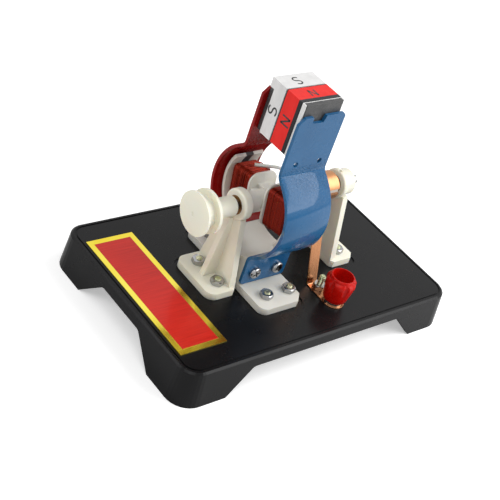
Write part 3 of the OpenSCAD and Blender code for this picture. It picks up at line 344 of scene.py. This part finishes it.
# Gloss enamel on sheet iron, with fine grit that shows in its highlights, most below the upper crease
def enamel(name, dark, light, worn, coat):
    skin = Surface(name, light, 0.34, Specular_IOR_Level=0.16, Coat_Weight=coat, Coat_Roughness=0.07)
    chips = skin.specks(420, 0.03, 0.06, 120, 0.64)
    skin.colour(skin.blend(chips, skin.drift(dark, light, 38, 4, high=0.72), worn))
    skin.uneven_gloss(0.2, 0.38, 130)
    height = skin.axis("Z")
    grows = skin.span(height, GRIT_FROM, GRIT_FULL, 0, CREASE_GRIT)
    near_crease = skin.math("MULTIPLY", grows, skin.span(height, GRIT_FADES, GRIT_ENDS, 1, 0))
    patches = skin.math("ADD", skin.span(skin.noise(90, 2), 0.46, 0.62, 0, PATCH_GRIT), near_crease)
    skin.bump(skin.math("MULTIPLY", skin.span(skin.noise(1300, 2), 0.45, 0.75), patches), 160*UM)
    skin.bump(skin.noise(260, 2), 50*UM, 0.6)
    return skin.material


def ferrite():
    skin = Surface("ferrite", (0.045, 0.045, 0.046), 0.42)
    skin.mottle((0.030, 0.030, 0.031), (0.066, 0.065, 0.064), 260, 1900)
    skin.uneven_gloss(0.3, 0.52, 240)
    skin.bump(skin.noise(1500, 4), 50*UM)
    skin.bump(skin.noise(180, 3), 140*UM, 0.5)
    return skin.material


# Plastic cover; one with bands is dark in front of the first limit on Y and behind the second
def cover_plastic(name, dark, light, bands=None):
    skin = Surface(name, light, 0.4, Specular_IOR_Level=0.2)
    tone = skin.drift(dark, light, 240, 5, 0.65, place=skin.stretched((1, 1, 0.25)))
    if bands is not None:
        band_tone = (0.016, 0.017, 0.02)
        waver = skin.span(skin.noise(500, 2), 0.3, 0.7, -BAND_WAVER, BAND_WAVER)
        edge = skin.math("ADD", skin.axis("Y"), waver)
        past_front, past_rear = [skin.span(edge, limit - BAND_BLUR, limit + BAND_BLUR) for limit in bands]
        tone = skin.blend(past_rear, skin.blend(past_front, band_tone, tone), band_tone)
    skin.colour(tone)
    skin.uneven_gloss(0.28, 0.44, 190)
    skin.bump(skin.noise(900, 3), 15*UM)
    return skin.material


def iron_stack():
    skin = Surface("iron_stack", (0.075, 0.075, 0.078), 0.5, 0.7)
    sheets = skin.waves(SHEET_T, "X")
    skin.colour(skin.blend(skin.span(sheets, 0.2, 0.8), (0.028, 0.028, 0.03), (0.12, 0.12, 0.122)))
    skin.uneven_gloss(0.38, 0.6, 300)
    skin.bump(sheets, 60*UM)
    return skin.material


# Copper wire under a clear dark red coat, its tone changing from turn to turn along the tilted arm
# Its dark stripes are partly the wire's own tone and partly painted shade between the turns
def enamelled_wire(name, dark, light):
    skin = Surface(name, light, 0.34, 0.55, Coat_Weight=0.1, Coat_Roughness=0.2, Specular_IOR_Level=0.15)
    along_y = skin.math("MULTIPLY", skin.axis("Y"), math.cos(TILT))
    along_z = skin.math("MULTIPLY", skin.axis("Z"), math.sin(TILT))
    along_arm = skin.math("SUBTRACT", along_y, along_z)
    # Painted shade between turns: the dark tone falls in stripes along the arm
    skin.colour(skin.drift(dark, light, 1150, 2, 0.5, 0.36, 0.62, along_arm))
    skin.set("Coat Tint", (1.0, 0.62, 0.5, 1))
    skin.uneven_gloss(0.24, 0.42, 600)
    return skin.material


def sleeving():
    skin = Surface("sleeving", (0.78, 0.77, 0.73), 0.6, Subsurface_Weight=0.2, Subsurface_Scale=1*MM)
    skin.mottle((0.62, 0.61, 0.57), (0.82, 0.81, 0.78), 240, 1800)
    skin.bump(skin.waves(SLEEVE_RIB, "X", distortion=1.5), 30*UM)
    return skin.material


# Copper strip or ring, with rolled streaks along one direction and brown stains
def copper(name, streak, dark, light, stain, dull=0.0):
    skin = Surface(name, light, 0.26, 1.0)
    rolled = skin.noise(300, 4, 0.7, skin.stretched(streak))
    marks = skin.span(skin.noise(210, 5, 0.65), stain, stain + 0.16)
    bright = skin.blend(skin.span(rolled, 0.3, 0.7), dark, light)
    skin.colour(skin.blend(marks, bright, (0.22, 0.085, 0.04)))
    rolled_gloss = skin.span(rolled, 0.3, 0.7, 0.18 + dull, 0.34 + dull)
    skin.link(skin.math("ADD", rolled_gloss, skin.span(marks, 0, 1, 0, 0.2)), "Roughness")
    skin.bump(rolled, 20*UM)
    return skin.material


def moulded(name, dark, light, glow):
    skin = Surface(name, light, 0.34, Subsurface_Weight=glow, Subsurface_Scale=1.5*MM,
                   Specular_IOR_Level=0.14)
    skin.set("Subsurface Radius", (1.0, 0.25, 0.2))
    skin.mottle(dark, light, 120, 700)
    skin.uneven_gloss(0.2, 0.36, 260)
    skin.bump(skin.noise(1300, 2), 20*UM)
    return skin.material


def ink():
    skin = Surface("ink", (0.014, 0.014, 0.016), 0.4)
    skin.mottle((0.01, 0.01, 0.012), (0.03, 0.03, 0.032), 300, 1500)
    return skin.material


label_low, label_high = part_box("label_plate")
north_low, north_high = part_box("north_cover")
bands = (north_low.y + FRONT_BAND, north_high.y - REAR_BAND)
materials = {
    "tray": black_plastic(),
    "label": label_print(label_low, label_high),
    "bracket": nylon("bracket_nylon", (0.79, 0.76, 0.63), (0.86, 0.84, 0.73)),
    "white": nylon("white_nylon", (0.64, 0.62, 0.56), (0.71, 0.69, 0.63), 0.25),
    "pulley": nylon("pulley_nylon", (0.79, 0.775, 0.65), (0.85, 0.84, 0.72), 0.4),
    "core": nylon("core_plastic", (0.42, 0.41, 0.37), (0.58, 0.57, 0.52), 0.1),
    "bronze": bronze(),
    "steel": bright_steel(),
    "shaft": shaft_steel(),
    "zinc": threaded("yellow_zinc", (0.62, 0.6, 0.42), (0.45, 0.52, 0.3), FINE_THREAD),
    "brass_thread": threaded("turned_brass", (0.62, 0.48, 0.22), (0.5, 0.36, 0.14), COARSE_THREAD),
    "blue": enamel("blue_enamel", (0.008, 0.086, 0.215), (0.013, 0.116, 0.272), (0.005, 0.03, 0.08), 0.4),
    "red_strip": enamel("red_enamel", (0.2, 0.002, 0.002), (0.3, 0.004, 0.003), (0.09, 0.002, 0.002), 0.12),
    "ferrite": ferrite(),
    "white_cover": cover_plastic("white_cover", (0.66, 0.655, 0.65), (0.76, 0.755, 0.75)),
    "red_cover": cover_plastic("red_cover", (0.7, 0.012, 0.009), (0.82, 0.02, 0.014), bands),
    "stack": iron_stack(),
    # The wires' dark tones are partly painted shade between the turns
    "wire": enamelled_wire("enamelled_wire", (0.05, 0.003, 0.001), (0.38, 0.026, 0.008)),
    "calm_wire": enamelled_wire("calm_wire", (0.15, 0.008, 0.003), (0.29, 0.018, 0.006)),
    "sleeve": sleeving(),
    "ring": copper("ring_copper", (26, 1, 1), (0.42, 0.18, 0.08), (0.64, 0.33, 0.16), 0.66, 0.1),
    "strip": copper("strip_copper", (9, 0.6, 0.6), (0.42, 0.18, 0.085), (0.56, 0.27, 0.13), 0.62),
    "knob_red": moulded("knob_red", (0.42, 0.003, 0.001), (0.54, 0.006, 0.002), 0.15),
    "knob_black": moulded("knob_black", (0.012, 0.012, 0.012), (0.024, 0.024, 0.025), 0.0),
    "ink": ink(),
}
dressed = {
    "tray": ["base_tray"],
    "label": ["label_plate"],
    "bracket": ["left_bearing_bracket", "right_bearing_bracket"],
    "white": ["stator_saddle", "rotor_frame_left", "rotor_frame_right"],
    "pulley": ["pulley"],
    "core": ["commutator_core"],
    "bronze": ["left_bush", "right_bush"],
    "steel": ["bracket_nuts", "saddle_nuts", "brush_nuts", "stud_nuts", "pole_screws", "front_washer",
              "rear_washer"],
    "shaft": ["shaft"],
    "zinc": ["bracket_bolts", "saddle_bolts", "brush_bolts"],
    "brass_thread": ["front_stud", "rear_stud"],
    "blue": ["front_pole_strip"],
    "red_strip": ["rear_pole_strip"],
    "ferrite": ["magnet_core"],
    "white_cover": ["south_cover", "magnet_front_frame"],
    "red_cover": ["north_cover"],
    "stack": ["rotor_core"],
    "wire": ["front_coil", "rear_coil"],
    "sleeve": ["front_lead", "rear_lead"],
    "ring": ["upper_segment", "lower_segment"],
    "strip": ["front_brush", "rear_brush"],
    "knob_red": ["front_knob"],
    "knob_black": ["rear_knob"],
}
for look, names in dressed.items():
    for name in names:
        slots = nodes[name].data.materials
        if not slots:
            slots.append(None)
        for index in range(len(slots)):
            slots[index] = materials[look]


# Softened edges on the moulded and pressed pieces
def soften(name, width, angle=EDGE_ANGLE, harden=True):
    piece = nodes[name]
    weld = piece.modifiers.new("weld", "WELD")
    weld.merge_threshold = MERGE
    bevel = piece.modifiers.new("edges", "BEVEL")
    bevel.width = width
    bevel.segments = 2
    bevel.limit_method = "ANGLE"
    bevel.angle_limit = math.radians(angle)
    bevel.use_clamp_overlap = True
    bevel.harden_normals = harden


edge_widths = {
    0.35*MM: ["left_bearing_bracket", "right_bearing_bracket", "stator_saddle"],
    0.25*MM: ["magnet_core", "front_knob", "rear_knob"],
    0.15*MM: ["south_cover", "north_cover", "magnet_front_frame", "rotor_frame_left",
              "rotor_frame_right"],
    0.08*MM: ["front_brush", "rear_brush"],
}
for width, names in edge_widths.items():
    for name in names:
        soften(name, width)
for name in ("front_pole_strip", "rear_pole_strip"):
    soften(name, STRIP_EDGE, STRIP_ANGLE, harden=False)


# Mesh of a piece of the scene's own
def mesh_object(name, points, faces, material, smooth=True):
    data = bpy.data.meshes.new(name)
    data.from_pydata([tuple(p) for p in points], [], faces)
    data.validate()
    for polygon in data.polygons:
        polygon.use_smooth = smooth
    data.materials.append(material)
    data.update()
    return add_object(name, data)


# Direction of a path at one of its points
def path_way(path, i):
    return (path[min(i + 1, len(path) - 1)] - path[max(i - 1, 0)]).normalized()


# Wire along the path, its rings carried along so that it doesn't twist
def add_wire(path, points, faces):
    first = len(points)
    side = path_way(path, 0).orthogonal()
    for i, p in enumerate(path):
        way = path_way(path, i)
        side = (side - way*side.dot(way)).normalized()
        other = way.cross(side)
        for j in range(WIRE_SIDES):
            angle = math.tau*j/WIRE_SIDES
            points.append(p + WIRE_R*(math.cos(angle)*side + math.sin(angle)*other))
    last = first + (len(path) - 1)*WIRE_SIDES
    for a in range(first, last, WIRE_SIDES):
        b = a + WIRE_SIDES
        for j in range(WIRE_SIDES):
            k = (j + 1) % WIRE_SIDES
            faces.append((a + j, a + k, b + k, b + j))
    faces.append(tuple(first + j for j in reversed(range(WIRE_SIDES))))
    faces.append(tuple(last + j for j in range(WIRE_SIDES)))


# Point at a share of the way round a rectangle of half widths a and b in X and Z, its corners
# rounded to r. The way starts in the middle of the +X side and goes to +Z first. Each corner has its
# middle and the straight that leads to it.
def turn_point(share, a, b, r):
    flat_x, flat_z, arc = a - r, b - r, math.pi*r/2
    corners = [(flat_x, flat_z, flat_z), (-flat_x, flat_z, 2*flat_x), (-flat_x, -flat_z, 2*flat_z),
               (flat_x, -flat_z, 2*flat_x)]
    to_go = share*4*(flat_x + flat_z + arc)
    for quarter, (middle_x, middle_z, straight) in enumerate(corners):
        start = math.radians(90*quarter)
        if to_go <= straight:
            short = straight - to_go
            x = middle_x + r*math.cos(start) + short*math.sin(start)
            z = middle_z + r*math.sin(start) - short*math.cos(start)
            return x, z
        to_go -= straight
        if to_go <= arc:
            angle = start + to_go/r
            return middle_x + r*math.cos(angle), middle_z + r*math.sin(angle)
        to_go -= arc
    return a, to_go - flat_z


# One layer of turns; the outer one, layer 0, has the small unevenness of hand winding
def layer_path(rng, layer, uneven):
    inset = WIRE_R + LAYER_DEPTH*layer
    start = COIL_Y0 + WIRE_R + layer*WIRE_PITCH/2
    turns = int((COIL_Y1 - WIRE_R - start)/WIRE_PITCH)
    amount = uneven*(1 - layer)
    shifts = [rng.uniform(-TURN_SHIFT, TURN_SHIFT)*amount for _ in range(turns + 2)]
    sinks = [rng.uniform(0, TURN_SINK)*amount for _ in range(turns + 2)]
    path = []
    for i in range(turns*TURN_STEPS + 1):
        turn, step = divmod(i, TURN_STEPS)
        share = step/TURN_STEPS
        shift = shifts[turn]*(1 - share) + shifts[turn + 1]*share
        sink = inset + sinks[turn]*(1 - share) + sinks[turn + 1]*share
        x, z = turn_point(share, COIL_A - sink, COIL_B - sink, COIL_CORNER_R)
        path.append(Vector((x, start + WIRE_PITCH*i/TURN_STEPS + shift, z)))
    return path


# A loose turn over the outer layer, each one a little wider than the one before
def loose_path(rng, number):
    start = COIL_Y0 + rng.uniform(LOOSE_FROM, LOOSE_TO)
    drift = rng.uniform(-LOOSE_DRIFT, LOOSE_DRIFT)
    path = []
    for i in range(TURN_STEPS + 1):
        share = i/TURN_STEPS
        x, z = turn_point(share % 1, COIL_A + WIRE_R/2, COIL_B + WIRE_R/2, COIL_CORNER_R + WIRE_R)
        swell = LOOSE_SWELL*math.sin(math.pi*share)**2
        path.append(Vector((x*(1 + LOOSE_SPREAD*number), start + drift*share, z + math.copysign(swell, z))))
    return path


def add_filler(points, faces):
    first = len(points)
    second = first + FILLER_STEPS
    a, b = COIL_A - FILLER_DEPTH, COIL_B - FILLER_DEPTH
    ring = [turn_point(k/FILLER_STEPS, a, b, FILLER_CORNER_R) for k in range(FILLER_STEPS)]
    for y in (COIL_Y0, COIL_Y1):
        points += [Vector((x, y, z)) for x, z in ring]
    for k in range(FILLER_STEPS):
        m = (k + 1) % FILLER_STEPS
        faces.append((first + k, first + m, second + m, second + k))
    faces.append(tuple(first + k for k in reversed(range(FILLER_STEPS))))
    faces.append(tuple(second + k for k in range(FILLER_STEPS)))


# A winding of two tight layers, some loose turns and plain inner layers. Its arm lies along Y before
# the tilt at rest, to the rear, or flipped to the front.
def winding(name, look, seed, flip, uneven, loose_turns):
    rng = random.Random(seed)
    points, faces = [], []
    for layer in range(2):
        add_wire(layer_path(rng, layer, uneven), points, faces)
    for number in range(loose_turns):
        add_wire(loose_path(rng, number), points, faces)
    add_filler(points, faces)
    at_rest = Matrix.Translation((0, 0, AXIS_Z)) @ Matrix.Rotation(-TILT, 4, "X")
    to_arm = Matrix.Rotation(math.pi if flip else 0, 4, "X") @ Matrix.Translation((ROTOR_X, 0, 0))
    piece = mesh_object(name, [at_rest @ to_arm @ p for p in points], faces, materials[look])
    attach(piece, "rotor")
    return piece


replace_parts(winding("rear_winding", "wire", 5, False, 1.5, 7), "rear_coil")
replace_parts(winding("front_winding", "calm_wire", 11, True, 0.3, 1), "front_coil")


# Two sides of a stroke along the path
def ribbon(path, width):
    left, right = [], []
    for i, p in enumerate(path):
        way = path_way(path, i)
        across = Vector((-way.y, way.x))*width/2
        left.append(p + across)
        right.append(p - across)
    return left, right


# Strokes of a letter round its middle, each a path
def letter_strokes(letter, width, height):
    across, up = width/2, height/2
    if letter == "N":
        ends = [Vector(p) for p in ((-across, -up), (-across, up), (across, -up), (across, up))]
        return [ends[i:i + 2] for i in range(3)]
    bow = up/2
    upper = [(S_START + S_SWEEP*i/S_STEPS, bow) for i in range(S_STEPS + 1)]
    lower = [(90 - S_SWEEP*i/S_STEPS, -bow) for i in range(1, S_STEPS + 1)]
    arcs = [(math.radians(degrees), middle) for degrees, middle in upper + lower]
    return [[Vector((across*math.cos(angle), middle + bow*math.sin(angle))) for angle, middle in arcs]]


# Pole letter in plain raised strokes, drawn to the right and up as the face is looked at. A stroke has
# four rows of points: a and b are its sunk sides, c and d the proud ones.
def pole_letter(name, letter, centre, size, right, up, stroke):
    centre, right, up = Vector(centre), Vector(right), Vector(up)
    out = right.cross(up)
    points, faces = [], []
    for path in letter_strokes(letter, *size):
        n = len(path)
        a = len(points)
        b, c, d = a + n, a + 2*n, a + 3*n
        for level in (-LETTER_SUNK, LETTER_PROUD):
            for side in ribbon(path, stroke):
                points += [centre + right*p.x + up*p.y + out*level for p in side]
        for i in range(n - 1):
            faces.append((c + i, d + i, d + i + 1, c + i + 1))
            faces.append((a + i, c + i, c + i + 1, a + i + 1))
            faces.append((b + i, b + i + 1, d + i + 1, d + i))
        faces.append((a, b, d, c))
        faces.append((a + n - 1, c + n - 1, d + n - 1, b + n - 1))
    piece = mesh_object(name, points, faces, materials["ink"], False)
    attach(piece, "magnet")


# The covers' left and top faces
side_face = {"right": (0, 0, -1), "up": (0, -1, 0), "stroke": 0.75*MM}
top_face = {"right": (1, 0, 0), "up": (0, 1, 0), "stroke": 0.7*MM}
side_x = north_low.x
top_z = north_high.z
north_y = -3.2*MM
pole_letter("letter_north_side", "N", (side_x, north_y, 100.4*MM), (3.4*MM, 4.9*MM), **side_face)
pole_letter("letter_south_side", "S", (side_x, 5.3*MM, 100.0*MM), (3.4*MM, 4.8*MM), **side_face)
pole_letter("letter_north_top", "N", (-13.7*MM, north_y, top_z), (3.1*MM, 4.0*MM), **top_face)
pole_letter("letter_south_top", "S", (-14.6*MM, 6.0*MM, top_z), (3.2*MM, 4.6*MM), **top_face)


# Floor: matt, and a little brighter to the camera, so that it runs into the backdrop
floor_data = bpy.data.meshes.new("floor")
floor_corners = [(x*FLOOR_REACH, y*FLOOR_REACH, 0) for x, y in ((-1, -1), (1, -1), (1, 1), (-1, 1))]
floor_data.from_pydata(floor_corners, [], [(0, 1, 2, 3)])
floor = add_object("floor", floor_data)
floor_look = bpy.data.materials.new("floor")
floor_look.use_nodes = True
tree = floor_look.node_tree
shader = tree.nodes["Principled BSDF"]
shader.inputs["Base Color"].default_value = FLOOR_TONE
shader.inputs["Roughness"].default_value = 0.9
shader.inputs["Specular IOR Level"].default_value = 0.0
shader.inputs["Emission Color"].default_value = (1, 1, 1, 1)
paths = tree.nodes.new("ShaderNodeLightPath").outputs
seen = math_node(tree, "MULTIPLY", paths["Is Camera Ray"], FLOOR_GLOW)
tree.links.new(seen, shader.inputs["Emission Strength"])
floor_data.materials.append(floor_look)

# Backdrop: white to the camera, in reflections and through glass, dimmer as a light
world = bpy.data.worlds.new("studio")
bpy.context.scene.world = world
world.use_nodes = True
tree = world.node_tree
background = tree.nodes["Background"]
background.inputs["Color"].default_value = (1, 1, 1, 1)
paths = tree.nodes.new("ShaderNodeLightPath").outputs
either = math_node(tree, "MAXIMUM", paths["Is Camera Ray"], paths["Is Glossy Ray"])
any_of = math_node(tree, "MAXIMUM", either, paths["Is Transmission Ray"])
level = tree.nodes.new("ShaderNodeMapRange")
level.inputs["To Min"].default_value = AMBIENT
level.inputs["To Max"].default_value = 1.0
tree.links.new(any_of, level.inputs["Value"])
tree.links.new(level.outputs["Result"], background.inputs["Strength"])


def softbox(name, place, target, size, power):
    data = bpy.data.lights.new(name, "AREA")
    data.shape = "RECTANGLE"
    data.size, data.size_y = size
    data.energy = power
    lamp = add_object(name, data)
    lamp.location = place
    aim = Vector(target) - Vector(place)
    lamp.rotation_euler = aim.to_track_quat("-Z", "Y").to_euler()


# The right lamp is parallel to X, so its reflection on the blue strip's arc is a straight band
softbox("key_lamp", (-0.35, -0.25, 0.85), MIDDLE, (0.5, 0.5), 1.8)
softbox("side_lamp", (-0.75, 0.35, 0.4), MIDDLE, (0.4, 0.4), 2.0)
softbox("right_lamp", (0.42, -0.325, 0.443), (0.42, 0, 0.034), (0.5, 0.87), 5.6)

bpy.context.scene.view_settings.view_transform = "Standard"
